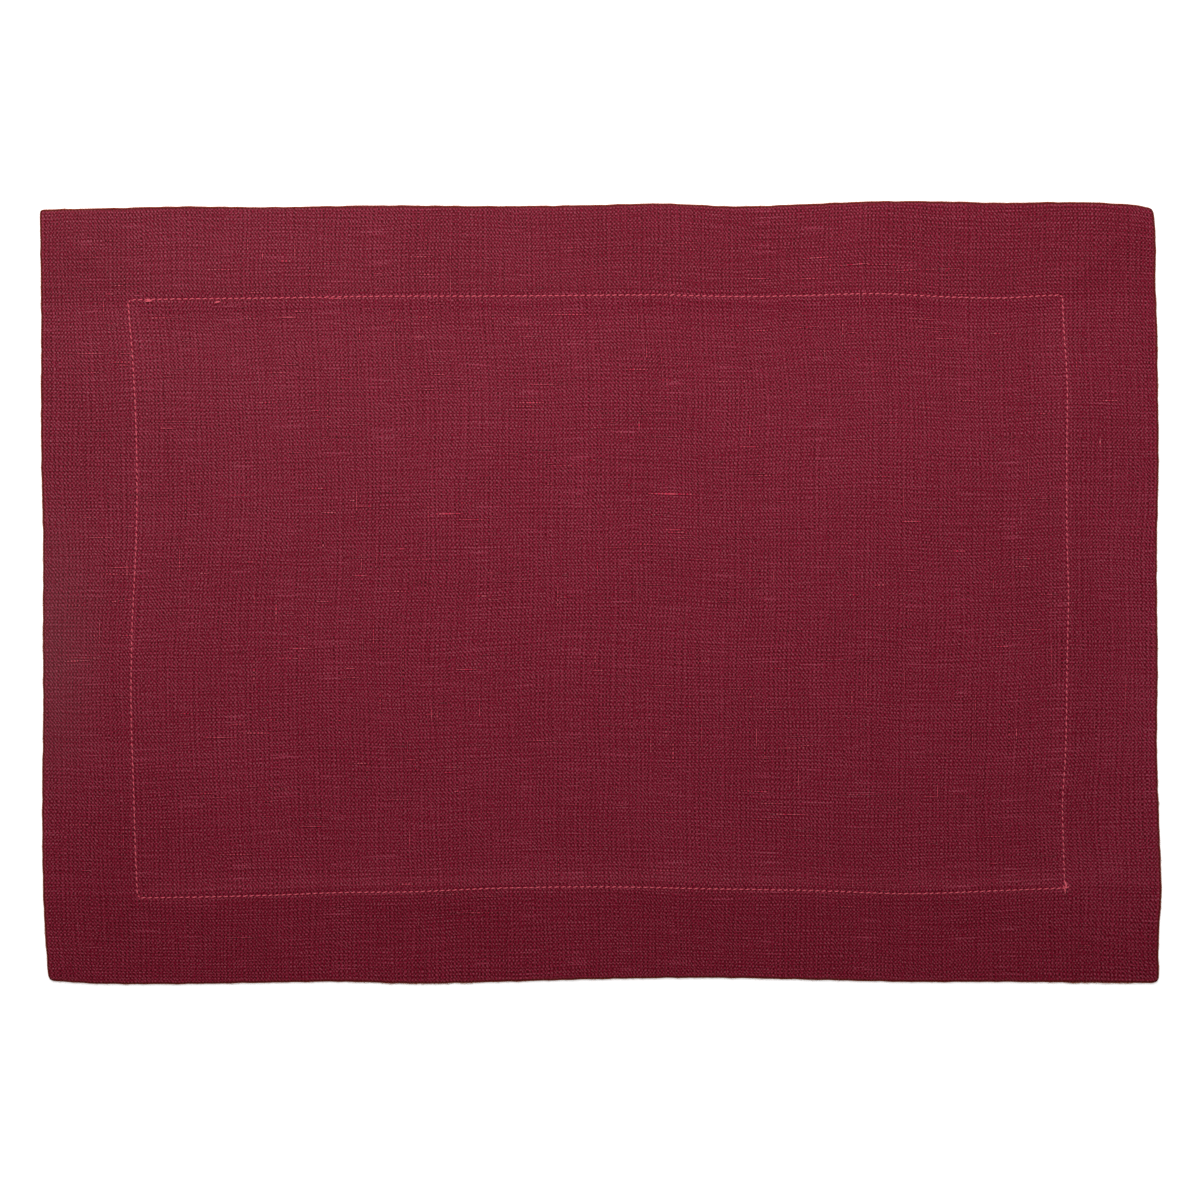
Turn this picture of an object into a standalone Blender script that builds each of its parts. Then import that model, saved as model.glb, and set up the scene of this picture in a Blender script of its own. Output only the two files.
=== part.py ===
"""Linen placemat lying flat: one cloth whose deep mitred hem is folded to the back on all four sides.

Metres, +Z up. X runs along the long sides and Y across them. The origin lies on the table, under
the middle of the cloth's bounding box. Sizes and tables below are in millimetres.
"""

from collections import namedtuple
import math

import bmesh
import bpy
import numpy as np

MM = 0.001

# Driving dimensions, in mm
LENGTH = 508.0        # 20 in between the folded edges of the short sides
WIDTH = 355.6         # 14 in between the folded edges of the long sides
HEM = 42.0            # folded edge to the line of stitches
HEM_LAP = 2.0         # cloth of the hem that lies past the stitches
HEM_THICK = 1.9       # face and back of the hem, with its turned-in edge between them
PANEL_THICK = 1.0     # the single cloth inside the hem, as it lies
STITCH_SINK = 0.4     # how far the thread draws the face down
SETTLE = 16.0         # stretch in which the panel comes down from the hem to the table
UNDER_STEP = 0.8      # height of the hem's inner fold at the back
MITRE_RISE = 0.25     # ridge of the face over the two folds that meet at a corner's diagonal
MITRE_SPREAD = 5.0    # width of that ridge to either side
MITRE_GROOVE = 0.5    # depth of the seam between those folds at the back
MITRE_GAP = 0.7       # width of that seam to either side

# Cells of the flat panel along each direction; every cell of its rim also carries a strip of hem
LONG_CELLS = 34
SHORT_CELLS = 24
CORNER_STEPS = (0.0, 1.0, 3.0, 9.0)   # the first places along a folded edge, from its corner

HALF_LENGTH = LENGTH / 2
HALF_WIDTH = WIDTH / 2
FOLD_RADIUS = HEM_THICK / 2
HEM_EDGE = HEM + HEM_LAP
PANEL_INSET = HEM_EDGE + SETTLE

# One table for each side, from its -X or -Y end to the other. along: place on the side, from its
# middle. edge, stitch: how far the folded edge and the line of stitches stand out from the
# straight-edged pattern there.
Side = namedtuple("Side", "along edge stitch")

FAR_SIDE = (
    Side(-254, -3.1, -2.6),
    Side(-215, -2.3, -2.6),
    Side(-190, -1.7, -2.1),
    Side(-150, -2.0, -1.7),
    Side(-100, -1.2, -0.9),
    Side(-40, -1.5, -0.7),
    Side(0, -1.0, -0.4),
    Side(30, -0.3, -0.2),
    Side(65, -1.6, -1.0),
    Side(100, -0.4, -0.3),
    Side(125, 0.6, 0.4),
    Side(165, 0.5, -1.3),
    Side(185, 0.0, -1.6),
    Side(205, 0.3, -0.5),
    Side(238, -0.4, 0.2),
    Side(247, -1.2, 0.2),
    Side(254, -2.6, 0.2),
)

NEAR_SIDE = (
    Side(-254, -1.0, 3.2),
    Side(-236, 0.2, 3.2),
    Side(-200, 0.6, 3.1),
    Side(-150, -0.1, 2.0),
    Side(-122, -0.5, 0.9),
    Side(-85, 0.4, 0.4),
    Side(-50, -0.3, -1.1),
    Side(0, -1.7, -1.8),
    Side(50, -2.3, -0.9),
    Side(100, -1.3, 0.0),
    Side(140, -0.4, 1.3),
    Side(185, -0.4, -0.2),
    Side(215, -0.1, -1.3),
    Side(254, 0.2, -1.4),
)

LEFT_SIDE = (
    Side(-178, -2.4, -1.8),
    Side(-167, -1.6, -1.6),
    Side(-145, -0.3, -1.4),
    Side(-110, 0.5, 0.0),
    Side(-85, 0.5, 0.7),
    Side(-50, 0.0, 1.8),
    Side(-15, 0.2, 1.4),
    Side(30, 0.2, -0.6),
    Side(60, 0.9, -0.8),
    Side(100, 1.1, 0.9),
    Side(125, 1.0, 3.3),
    Side(178, 1.6, 3.6),
)

RIGHT_SIDE = (
    Side(-178, 0.6, -0.6),
    Side(-160, 0.3, -0.6),
    Side(-138, 1.6, -0.6),
    Side(-115, 0.9, -1.2),
    Side(-98, 0.3, -1.6),
    Side(-75, -0.4, -0.3),
    Side(-30, -0.1, 0.5),
    Side(0, -0.5, 1.1),
    Side(20, -0.5, 0.5),
    Side(60, 0.3, 0.3),
    Side(100, -0.1, 0.3),
    Side(120, -0.3, -1.0),
    Side(140, -1.1, -1.8),
    Side(167, -1.2, -2.0),
    Side(178, -2.3, -2.0),
)

# How round each corner is pressed
CORNER_RADIUS = {"far_left": 1.4, "far_right": 2.6, "near_left": 3.6, "near_right": 1.6}

# Soft swells where the cloth doesn't lie quite down. x, y: middle. turn: degrees from +X to the
# swell's length. long, wide: where it has fallen to about a third. rise: height at the middle.
Swell = namedtuple("Swell", "x y turn long wide rise")

SWELLS = (
    Swell(-243, -46, 0, 24, 34, 0.55),
    Swell(-232, -126, 0, 30, 9, 0.25),
    Swell(-182, -103, 21, 26, 8, 0.25),
    Swell(-206, -82, 2, 30, 8, 0.25),
    Swell(240, 26, 0, 20, 24, 0.35),
    Swell(244, -136, 90, 22, 14, 0.4),
    Swell(128, 166, 0, 44, 14, 0.35),
    Swell(-190, 160, 0, 52, 18, 0.3),
    Swell(30, -170, 0, 60, 12, 0.3),
    Swell(-60, 60, 65, 120, 22, 0.3),
    Swell(110, -30, 80, 110, 26, 0.3),
    Swell(-130, -30, 15, 60, 22, 0.25),
)

# The cloth's section from the panel over the face to the fold, and back underneath.
# inset: distance from the folded edge. height: above the table. mitre: what is added to the
# height on a corner's diagonal.
Row = namedtuple("Row", "inset height mitre")

PANEL_ROW = Row(PANEL_INSET, PANEL_THICK, 0.0)

FACE_ROWS = (
    Row(HEM_EDGE + 0.65 * SETTLE, PANEL_THICK + 0.05, 0.0),
    Row(HEM_EDGE + 0.3 * SETTLE, PANEL_THICK + 0.4, 0.0),
    Row(HEM_EDGE, HEM_THICK - 0.1, 0.0),
    Row(HEM, HEM_THICK - STITCH_SINK, 0.0),
    Row(HEM - 2.0, HEM_THICK - 0.05, MITRE_RISE / 2),
    Row(0.85 * HEM, HEM_THICK + 0.05, MITRE_RISE),
    Row(0.6 * HEM, HEM_THICK, MITRE_RISE),
    Row(0.35 * HEM, HEM_THICK, MITRE_RISE),
    Row(0.12 * HEM, HEM_THICK + 0.05, MITRE_RISE),
    Row(FOLD_RADIUS, HEM_THICK, 0.0),
    Row(0.3 * FOLD_RADIUS, 1.7 * FOLD_RADIUS, 0.0),
    Row(0.0, FOLD_RADIUS, 0.0),
)

BACK_ROWS = (
    Row(0.3 * FOLD_RADIUS, 0.3 * FOLD_RADIUS, 0.0),
    Row(FOLD_RADIUS, 0.0, MITRE_GROOVE),
    Row(HEM_EDGE, 0.0, MITRE_GROOVE),
    Row(HEM_EDGE + 0.2, UNDER_STEP, 0.0),
    Row(HEM_EDGE + 0.7 * SETTLE, 0.0, 0.0),
)

LINEN_COLOUR = (0.171, 0.0168, 0.0307, 1.0)
LINEN_ROUGHNESS = 0.9


def smooth_through(rows, column, along):
    """A table's column as a smooth curve: cubic pieces that share the mean slope at each row."""
    place = np.array([row.along for row in rows], dtype=float)
    value = np.array([getattr(row, column) for row in rows], dtype=float)
    slope = np.gradient(value, place)
    k = np.clip(np.searchsorted(place, along) - 1, 0, len(place) - 2)
    step = place[k + 1] - place[k]
    t = np.clip((along - place[k]) / step, 0.0, 1.0)
    start = (1 + 2 * t) * (1 - t) ** 2
    level = start * value[k] + (1 - start) * value[k + 1]
    return level + step * t * (1 - t) * ((1 - t) * slope[k] - t * slope[k + 1])


def stand_out(rows, along, out):
    """How far a side stands out: out is 0 from the stitches inwards and 1 at the folded edge."""
    stitch = smooth_through(rows, "stitch", along)
    edge = smooth_through(rows, "edge", along)
    return stitch + (edge - stitch) * out


def rounded_corners(u, v):
    """The pattern's square corners made round: a square of the radius is mapped to a quarter disc."""
    left = u < 0
    near = v < 0
    radius = np.where(left, CORNER_RADIUS["far_left"], CORNER_RADIUS["far_right"])
    radius_near = np.where(left, CORNER_RADIUS["near_left"], CORNER_RADIUS["near_right"])
    radius = np.where(near, radius_near, radius)
    a = np.clip(1 - (HALF_LENGTH - abs(u)) / radius, 0.0, 1.0)
    b = np.clip(1 - (HALF_WIDTH - abs(v)) / radius, 0.0, 1.0)
    pull_u = radius * a * (1 - np.sqrt(1 - b * b / 2))
    pull_v = radius * b * (1 - np.sqrt(1 - a * a / 2))
    return u - np.sign(u) * pull_u, v - np.sign(v) * pull_v


def laid_out(u, v):
    """Carry a point of the straight-edged pattern to where the uneven cloth has it."""
    u, v = rounded_corners(u, v)
    out_u = np.clip((abs(u) - HALF_LENGTH + HEM) / HEM, 0.0, 1.0)
    out_v = np.clip((abs(v) - HALF_WIDTH + HEM) / HEM, 0.0, 1.0)
    right = np.clip(0.5 + 0.5 * u / (HALF_LENGTH - HEM), 0.0, 1.0)
    far = np.clip(0.5 + 0.5 * v / (HALF_WIDTH - HEM), 0.0, 1.0)
    shift_u = right * stand_out(RIGHT_SIDE, v, out_u) - (1 - right) * stand_out(LEFT_SIDE, v, out_u)
    shift_v = far * stand_out(FAR_SIDE, u, out_v) - (1 - far) * stand_out(NEAR_SIDE, u, out_v)
    return u + shift_u, v + shift_v


def swelling(x, y):
    """Height that the soft swells add: each is an oval dome that fades like a bell curve."""
    total = np.zeros_like(x)
    for swell in SWELLS:
        turn = math.radians(swell.turn)
        along = (x - swell.x) * math.cos(turn) + (y - swell.y) * math.sin(turn)
        across = (y - swell.y) * math.cos(turn) - (x - swell.x) * math.sin(turn)
        total += swell.rise * np.exp(-(along / swell.long) ** 2 - (across / swell.wide) ** 2)
    return total


def near_diagonal(u, v, spread):
    """One on a corner's diagonal, falling to zero at the given distance to either side of it."""
    off_line = abs(HALF_LENGTH - abs(u) - HALF_WIDTH + abs(v)) / math.sqrt(2)
    return np.clip(1 - off_line / spread, 0.0, 1.0)


def from_corner(steps, all_steps, half, evenness):
    """Distance from a corner along the hem: drawn in to the corner at 0, equal cells at 1."""
    even = half * steps / all_steps
    first = np.arange(len(CORNER_STEPS))
    tight = np.interp(steps, (*first, all_steps), (*CORNER_STEPS, half))
    return tight + (even - tight) * evenness


def set_row(verts, layers, row, face_up):
    """Put the vertices of one row where the section and the pattern have them."""
    grid_x = np.array([vert[layers[0]] for vert in verts])
    grid_y = np.array([vert[layers[1]] for vert in verts])
    half_u = HALF_LENGTH - row.inset
    half_v = HALF_WIDTH - row.inset
    steps_u = np.rint((1 - abs(grid_x)) * LONG_CELLS / 2)
    steps_v = np.rint((1 - abs(grid_y)) * SHORT_CELLS / 2)
    evenness = row.inset / PANEL_INSET if face_up else 0.0
    u = np.sign(grid_x) * (half_u - from_corner(steps_u, LONG_CELLS / 2, half_u, evenness))
    v = np.sign(grid_y) * (half_v - from_corner(steps_v, SHORT_CELLS / 2, half_v, evenness))
    x, y = laid_out(u, v)
    spread = MITRE_SPREAD if face_up else MITRE_GAP
    height = row.height + row.mitre * near_diagonal(u, v, spread)
    if face_up:
        height += swelling(x, y) * min(row.height / HEM_THICK, 1.0)
    for vert, place in zip(verts, np.column_stack((x, y, height)) * MM):
        vert.co = place


def make_cloth():
    """A grid for the panel; its rim is then extruded row by row over the face, round and under."""
    bm = bmesh.new()
    bmesh.ops.create_grid(bm, x_segments=LONG_CELLS, y_segments=SHORT_CELLS, size=1.0)
    layers = (bm.verts.layers.float.new("grid_x"), bm.verts.layers.float.new("grid_y"))
    for vert in bm.verts:
        vert[layers[0]] = vert.co.x
        vert[layers[1]] = vert.co.y
    set_row(list(bm.verts), layers, PANEL_ROW, True)

    rim = [edge for edge in bm.edges if edge.is_boundary]
    for row in FACE_ROWS + BACK_ROWS:
        made = bmesh.ops.extrude_edge_only(bm, edges=rim)["geom"]
        rim = [item for item in made if isinstance(item, bmesh.types.BMEdge) and item.is_boundary]
        bm.verts.index_update()
        verts = sorted({vert for edge in rim for vert in edge.verts}, key=lambda vert: vert.index)
        set_row(verts, layers, row, row in FACE_ROWS)
    bmesh.ops.contextual_create(bm, geom=rim)
    bmesh.ops.recalc_face_normals(bm, faces=bm.faces)

    mesh = bpy.data.meshes.new("placemat_cloth")
    bm.to_mesh(mesh)
    bm.free()
    mesh.shade_smooth()
    mesh.set_sharp_from_angle(angle=math.radians(60))
    return mesh


def make_linen():
    """Burgundy linen: a rough, matt plain weave."""
    linen = bpy.data.materials.new("burgundy_linen")
    linen.use_nodes = True
    shader = linen.node_tree.nodes["Principled BSDF"]
    shader.inputs["Base Color"].default_value = LINEN_COLOUR
    shader.inputs["Roughness"].default_value = LINEN_ROUGHNESS
    shader.inputs["Metallic"].default_value = 0.0
    return linen


def main():
    for old in list(bpy.context.scene.objects):
        bpy.data.objects.remove(old, do_unlink=True)
    collection = bpy.data.collections.new("fabric_placemat")
    bpy.context.scene.collection.children.link(collection)
    cloth = bpy.data.objects.new("placemat_cloth", make_cloth())
    cloth.data.materials.append(make_linen())
    collection.objects.link(cloth)


main()
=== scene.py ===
"""Looks of a burgundy linen placemat: cloth, hem, stitches, slubs and fuzz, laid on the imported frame.

Run as a script, it builds every piece and the stage. It is laid out as a Blender add-on, with a panel
in the 3D view's sidebar. Lengths are in millimetres unless a comment says so, in the frame's axes: X
along the long sides, Y across them, Z up, with the origin on the table.
"""

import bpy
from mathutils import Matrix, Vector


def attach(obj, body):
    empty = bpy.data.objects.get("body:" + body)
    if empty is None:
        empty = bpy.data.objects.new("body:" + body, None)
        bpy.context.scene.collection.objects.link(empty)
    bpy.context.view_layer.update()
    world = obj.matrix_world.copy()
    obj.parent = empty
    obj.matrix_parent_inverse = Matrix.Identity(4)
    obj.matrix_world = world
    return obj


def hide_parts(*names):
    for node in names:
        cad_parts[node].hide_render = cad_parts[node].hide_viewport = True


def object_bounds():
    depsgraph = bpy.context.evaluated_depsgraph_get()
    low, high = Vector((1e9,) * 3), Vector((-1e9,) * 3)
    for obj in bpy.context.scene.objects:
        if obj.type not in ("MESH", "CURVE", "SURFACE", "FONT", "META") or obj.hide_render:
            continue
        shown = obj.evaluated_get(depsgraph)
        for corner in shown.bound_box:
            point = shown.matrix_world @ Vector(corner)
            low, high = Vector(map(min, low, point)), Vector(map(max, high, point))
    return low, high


bl_info = {
    "name": "Linen placemat",
    "version": (1, 0, 0),
    "blender": (4, 5, 0),
    "location": "3D View > Sidebar > Placemat",
    "description": "Lays, hems and sews a linen placemat over its packed frame",
    "category": "Object",
}

import math
from collections import namedtuple
from functools import partial

import bpy
import numpy as np

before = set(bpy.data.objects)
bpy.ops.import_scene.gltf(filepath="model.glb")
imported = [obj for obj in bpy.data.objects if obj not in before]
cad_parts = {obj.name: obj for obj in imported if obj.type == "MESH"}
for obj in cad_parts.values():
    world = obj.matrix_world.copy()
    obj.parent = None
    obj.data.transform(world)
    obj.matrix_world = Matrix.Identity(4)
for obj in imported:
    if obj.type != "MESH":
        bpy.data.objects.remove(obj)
CAD_LOW, CAD_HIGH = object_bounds()

MM = 0.001
CAD_CLOTH = "placemat_cloth"
SEED = 20


def table(kind, *rows):
    """The rows of a table, with their columns' names."""
    return tuple(kind(*row) for row in rows)


# ---- the cut and its hem, in mm

LENGTH = 508.0        # between the folded edges of the short sides
WIDTH = 355.6         # between the folded edges of the long sides
HEM = 42.0            # folded edge to the line of stitches
HEM_LAP = 2.0         # cloth of the hem that lies past the stitches
TURN_IN = 10.0        # raw edge folded in between the hem's two layers
SETTLE = 16.0         # stretch in which the panel comes down from the hem to the table

HALF_LENGTH = LENGTH / 2
HALF_WIDTH = WIDTH / 2
HEM_EDGE = HEM + HEM_LAP
PANEL_INSET = HEM_EDGE + SETTLE

# One table for each side, from its -X or -Y end. along: place on the side, from its middle. edge,
# stitch: how far the folded edge and the stitches stand out from the straight-edged pattern there.
Stand = namedtuple("Stand", "along edge stitch")

FAR_SIDE = table(
    Stand,
    (-254, -3.1, -2.6), (-215, -2.3, -2.6), (-190, -1.7, -2.1), (-150, -2.0, -1.7), (-100, -1.2, -0.9),
    (-40, -1.5, -0.7), (0, -1.0, -0.4), (30, -0.3, -0.2), (65, -1.6, -1.0), (100, -0.4, -0.3),
    (125, 0.6, 0.4), (165, 0.5, -1.3), (185, 0.0, -1.6), (205, 0.3, -0.5), (238, -0.4, 0.2),
    (247, -1.2, 0.2), (254, -2.6, 0.2),
)

NEAR_SIDE = table(
    Stand,
    (-254, -1.0, 3.2), (-236, 0.2, 3.2), (-200, 0.6, 3.1), (-150, -0.1, 2.0), (-122, -0.5, 0.9),
    (-85, 0.4, 0.4), (-50, -0.3, -1.1), (0, -1.7, -1.8), (50, -2.3, -0.9), (100, -1.3, 0.0),
    (140, -0.4, 1.3), (185, -0.4, -0.2), (215, -0.1, -1.3), (254, 0.2, -1.4),
)

LEFT_SIDE = table(
    Stand,
    (-178, -2.4, -1.8), (-167, -1.6, -1.6), (-145, -0.3, -1.4), (-110, 0.5, 0.0), (-85, 0.5, 0.7),
    (-50, 0.0, 1.8), (-15, 0.2, 1.4), (30, 0.2, -0.6), (60, 0.9, -0.8), (100, 1.1, 0.6),
    (113, 1.0, 1.4), (125, 1.0, 2.4), (137, 1.1, 3.3), (178, 1.6, 3.6),
)

RIGHT_SIDE = table(
    Stand,
    (-178, 0.6, -0.6), (-160, 0.3, -0.6), (-138, 1.6, -0.6), (-115, 0.9, -1.2), (-98, 0.3, -1.6),
    (-75, -0.4, -0.3), (-30, -0.1, 0.5), (0, -0.5, 1.1), (20, -0.5, 0.5), (60, 0.3, 0.3),
    (100, -0.1, 0.3), (120, -0.3, -1.0), (140, -1.1, -1.8), (167, -1.2, -2.0), (178, -2.3, -2.0),
)

# How round the corners are pressed: the near left and right one, then the far left and right one
CORNER_RADIUS = np.array(((3.6, 4.0), (2.2, 2.6)))

# Soft swells where the cloth doesn't lie quite down, and the creases that ironing left. x, y: middle.
# turn: degrees from +X to its length. long, wide: where it has fallen to about a third. rise: height
# at the middle, less than 0 in a trough.
Swell = namedtuple("Swell", "x y turn long wide rise")

SWELLS = table(
    Swell,
    (-243, -46, 0, 24, 34, 0.55), (-232, -126, 0, 30, 9, 0.25), (-182, -103, 21, 26, 8, 0.25),
    (-206, -82, 2, 30, 8, 0.25), (240, 26, 0, 20, 24, 0.35), (244, -136, 90, 22, 14, 0.4),
    (128, 166, 0, 44, 14, 0.35), (-190, 160, 0, 52, 18, 0.3), (30, -170, 0, 60, 12, 0.3),
    (-60, 60, 65, 120, 22, 0.3), (110, -30, 80, 110, 26, 0.3), (-130, -30, 15, 60, 22, 0.25),
)

# Places drawn paler, darker or greyer. The paler ones on the right hem are painted light, where
# light falls from the right, and the grey one on the left hem is a painted sheen. x, y: middle.
# wide, high: how far it fades out. paler: change of tone at the middle. grey: share of grey there.
Patch = namedtuple("Patch", "x y wide high paler grey")

PATCHES = table(
    Patch,
    (-257, -21, 42, 88, 0.0, 0.13), (236, -138, 58, 36, 0.08, 0.0), (251, -25, 40, 130, 0.04, 0.0),
    (-240, 85, 42, 58, -0.045, 0.0), (-222, -112, 54, 50, -0.045, 0.0), (-165, 159, 95, 26, 0.05, 0.0),
)

# Slubs: thick places in a yarn, where they show most. x, y: middle. length: along the yarn. strength:
# 1 for one as thick as the brightest. climb: how much higher up the mat it is at its right end.
Slub = namedtuple("Slub", "x y length strength climb", defaults=(0,))

WEFT_SLUBS = table(
    Slub,
    (-223, 136, 5.5, 0.8), (-219, 105, 11, 1.0), (-231, 109, 28, 0.6, 0.5), (-222, 120, 9, 0.6),
    (-189, 115, 6.5, 0.6), (-197, 75, 9, 1.0), (-193, 78, 27, 0.6), (-143, 125.5, 12, 0.9),
    (-161, 125, 9, 0.6), (-144, 151, 7.5, 0.9), (-121, 150, 20, 0.6, 0.4), (-81, 153, 14, 0.5),
    (-141, 104, 12, 0.6), (-74, 99.5, 8, 0.9), (-24, 95, 23, 0.6, 0.3), (72.5, 143, 15.5, 0.9),
    (95, 143, 12, 0.6, 0.5), (98.5, 152.5, 16, 0.9, 1.0), (116, 149.5, 20, 0.7, 1.8),
    (139, 147, 12.5, 0.9, 0.6), (156, 147.5, 20, 0.8, 0.3), (73, 119.5, 8, 0.6),
    (94, 121, 18, 0.6, 1.4), (114.5, 118.5, 4.5, 1.0), (159.5, 116, 17, 0.8, 0.3),
    (128, 101, 14, 0.5, 0.4), (68, 66.5, 12, 0.9), (167, 87.5, 10.5, 0.6), (193, 82, 14, 0.5),
    (131, 77.5, 14, 0.5, 0.3), (232, 87.5, 10.5, 0.6), (217, 116, 9, 0.5), (-124, 36.5, 8, 1.3),
    (-113, 42, 3, 1.2), (-108, 39.5, 15, 0.7), (-69, 36, 14.5, 1.0, 0.3), (-58.5, 39.5, 4.5, 0.8),
    (-90.5, 20, 4.5, 1.0), (-80, 15, 29, 0.6), (-159.5, 14, 6.5, 0.6), (-219.5, 11.5, 13.5, 0.8, 0.4),
    (-218, -3.5, 13.5, 0.7, 2.0), (-208, 44.5, 33, 0.5), (-164, 44.5, 15, 0.5), (-126.5, -4, 9, 0.7),
    (-41, 5, 20, 0.6), (-53.5, -1.5, 8, 0.9), (-16.5, -2, 5.5, 0.9), (-136.5, -25.5, 14.5, 0.8),
    (-61, -35, 12.5, 1.3, 0.2), (-114, -34.5, 7, 0.9), (-237.5, -31, 17, 0.7, 0.9),
    (32, 45, 26, 1.2, -0.4), (35, 27.5, 10.5, 0.7), (142, 32.5, 12.5, 1.0, 0.2), (163, 19, 8, 0.7),
    (127.5, 3.5, 8, 1.0, 0.2), (115, -1, 6, 1.0), (137, -0.5, 4.5, 0.8), (193.5, 15.5, 15, 0.8),
    (191.5, 12, 10.5, 0.6), (187, -18, 17, 0.6), (182, -24.5, 10.5, 0.8), (57, -4, 15, 0.6, -0.3),
    (104.5, -30.5, 15.5, 0.6), (122.5, -30.5, 15.5, 0.6), (43.5, 15, 15, 0.6), (201, 43, 23, 0.5),
    (68.5, -47.5, 8, 0.6), (-157.5, -64, 16.5, 0.9), (-173.5, -66, 18, 0.8, 0.3), (-189, -69, 8, 0.6),
    (-66, -79.5, 12.5, 0.8), (-69.5, -82, 4.5, 0.8), (-148.5, -89.5, 20, 0.6), (-131, -106.5, 15, 0.9),
    (-65.5, -90.5, 2.3, 1.4, 0.5), (-234.5, -126.5, 6, 0.7, 0.3), (-164, -157, 18, 0.7),
    (71, -90.5, 18, 0.8, -0.9), (86, -101, 21, 0.8, -0.4), (201, -120, 13.5, 0.6, 0.3),
    (90.5, -65.5, 15.5, 0.6, -0.3), (151.5, -73.5, 18, 0.5), (118.5, -92, 26, 0.5), (150, -93, 9, 0.7),
    (112.5, -143, 8, 0.7),
)

WARP_SLUBS = table(
    Slub,
    (21, 110, 10.5, 1.0), (39.5, 105.5, 10.5, 0.6), (17.5, 76.5, 7, 1.0), (6, 75, 10.5, 0.7),
    (104.5, 147, 6.5, 1.0), (139.5, 141.5, 7, 0.6), (68, 74, 6.5, 0.9), (227.5, 68.5, 4.5, 0.9),
    (-192, 14.5, 17, 0.7), (-148, -9, 12.5, 1.0), (-158, -37.5, 13.5, 1.0), (-109, 14, 9.5, 0.7),
    (-19.5, -1.5, 12.5, 0.9), (-2.5, -29, 10, 0.7), (-1.5, 11, 8, 0.6), (-100.5, -49, 12, 0.7),
    (-77, -55.5, 7.5, 0.6), (-126.5, 22, 3.6, 1.0), (-103.5, -19.5, 15, 0.6), (121, -44.5, 21, 0.6),
    (114.5, -48, 8, 0.8), (138.5, -40, 10.5, 0.6), (75.5, -52.5, 3.2, 1.0), (205.5, -30.5, 12, 0.5),
    (33, -73, 15, 1.0), (189.5, -65, 7.5, 1.0), (71, -66, 10.5, 0.7), (153.5, -90.5, 8, 0.8),
    (169.5, -67.5, 10.5, 0.6), (135, -98, 8, 0.6), (-87, -112.5, 9, 0.6), (-8.5, -107, 4.5, 1.0),
    (-154, 153.5, 4.5, 1.3), (-88, -70.5, 8, 0.6),
)

# Stretches of the near edge with the most loose fibres, along X
FRAYED = ((-100, -58), (214, 243))

# Short ends of thread over the seam: two knots under its top line, and the stitches sewn back and
# forth where it starts and ends, at the near right corner. turn: degrees from +X to its length.
Tack = namedtuple("Tack", "x y turn length")

TACKS = table(
    Tack,
    (-205.8, 132.6, 6, 3.0), (-205.5, 133.2, -12, 2.6), (-205.9, 133.0, 34, 2.0),
    (-174.5, 132.1, 12, 2.6), (-174.2, 132.4, 2, 2.0), (211.6, -133.1, 88, 3.0),
    (211.9, -133.7, 77, 2.6), (211.4, -135.9, 91, 2.9), (211.7, -134.4, 15, 3.2),
)

# The face's section. inset: distance from the folded edge. level: height of the cloth's middle
# surface above the table, over the back and, from the turned-in edge inwards, over both layers.
Level = namedtuple("Level", "inset level")

FACE_LEVELS = table(
    Level,
    (0.0, 1.40), (1.5, 1.42), (5.0, 1.48), (12.0, 1.40), (24.0, 1.36), (31.0, 1.40), (34.0, 1.50),
    (39.0, 1.54), (43.4, 1.50), (44.6, 1.36), (46.5, 1.00), (49.0, 0.66), (52.0, 0.46), (56.0, 0.34),
    (PANEL_INSET, 0.29), (PANEL_INSET + 6.0, 0.285), (PANEL_INSET + 30.0, 0.285),
)
BACK_LEVEL = 0.28     # the hem's back layer, lying on the table
TURN_LEVEL = 0.88     # the turned-in edge, on the back layer
FOLD_SOFT = 0.62      # how far the folded edge's round reaches inwards
INNER_SOFT = 0.34     # the same at the hem's inner fold

MITRE_RISE = 0.22     # ridge of the face over the seam at a corner's diagonal
MITRE_SPREAD = 2.6    # width of that ridge to either side
ALLOWANCE_RISE = 0.14    # the seam's pressed-open allowances, which lift the face beside it
ALLOWANCE_REACH = 7.0    # how far they reach to either side
ALLOWANCE_SOFT = 0.8     # how softly they end
HEM_FADE = 3.0        # both fade out over so much before the hem's inner edge
EDGE_FADE = 5.0       # and over so much before the folded edge
MITRE_GROOVE = 0.34   # depth of the seam at the back
MITRE_GAP = 0.8       # width of that seam to either side
GROOVE_FADE = 4.0     # it fades out over so much before the folded edge
BACK_SHARE = 0.5      # the seam draws the back in by this share of what it does on the face

# ---- yarns, sewing and fibres, in mm

WARP_PITCH = 0.594    # yarns that run along Y, about 17 to the cm
WEFT_PITCH = 0.745    # yarns that run along X, about 13.5 to the cm
COARSE = 1.3          # how much coarser the weave is drawn, so that it shows: see linen_material
WANDER = 3.5          # how far the yarns stray from their straight lines
YARN_LENGTH = 22      # stretch of a yarn that keeps its tone
YARN_SHIFT = 1.2      # how far the noise shifts the yarns' tones, in waves of them
YARN_OWN = 1.0        # how far across the yarns that shift stays the same
YARN_JUMP = 200.0     # how far apart in the noise two yarns beside each other can be
YARN_APART = 0.55     # share of the neighbours' tone that is taken off a yarn's own
WEAVE_RELIEF = 0.05   # how far the floats stand up from the gaps, for the bump

SLUB_WIDE = 0.54      # half the width of the brightest slubs, with the gaps beside them
SLUB_HIGH = 0.14      # and half their height
SLUB_MARGIN = 14      # scattered slubs keep this far from the folded edges
SLUB_CROWDING = 0.75  # 1 scatters them evenly; less draws them together towards the far left
SLUB_SHORTEST = 4
SLUB_SHAPE = 0.6      # less makes a slub blunter
SLUB_ENDS = 0.05      # thickness added all along it, so that its ends stay open
SLUB_OUT = 0.3        # how far its middle is over the face, as a share of half its height

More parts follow.
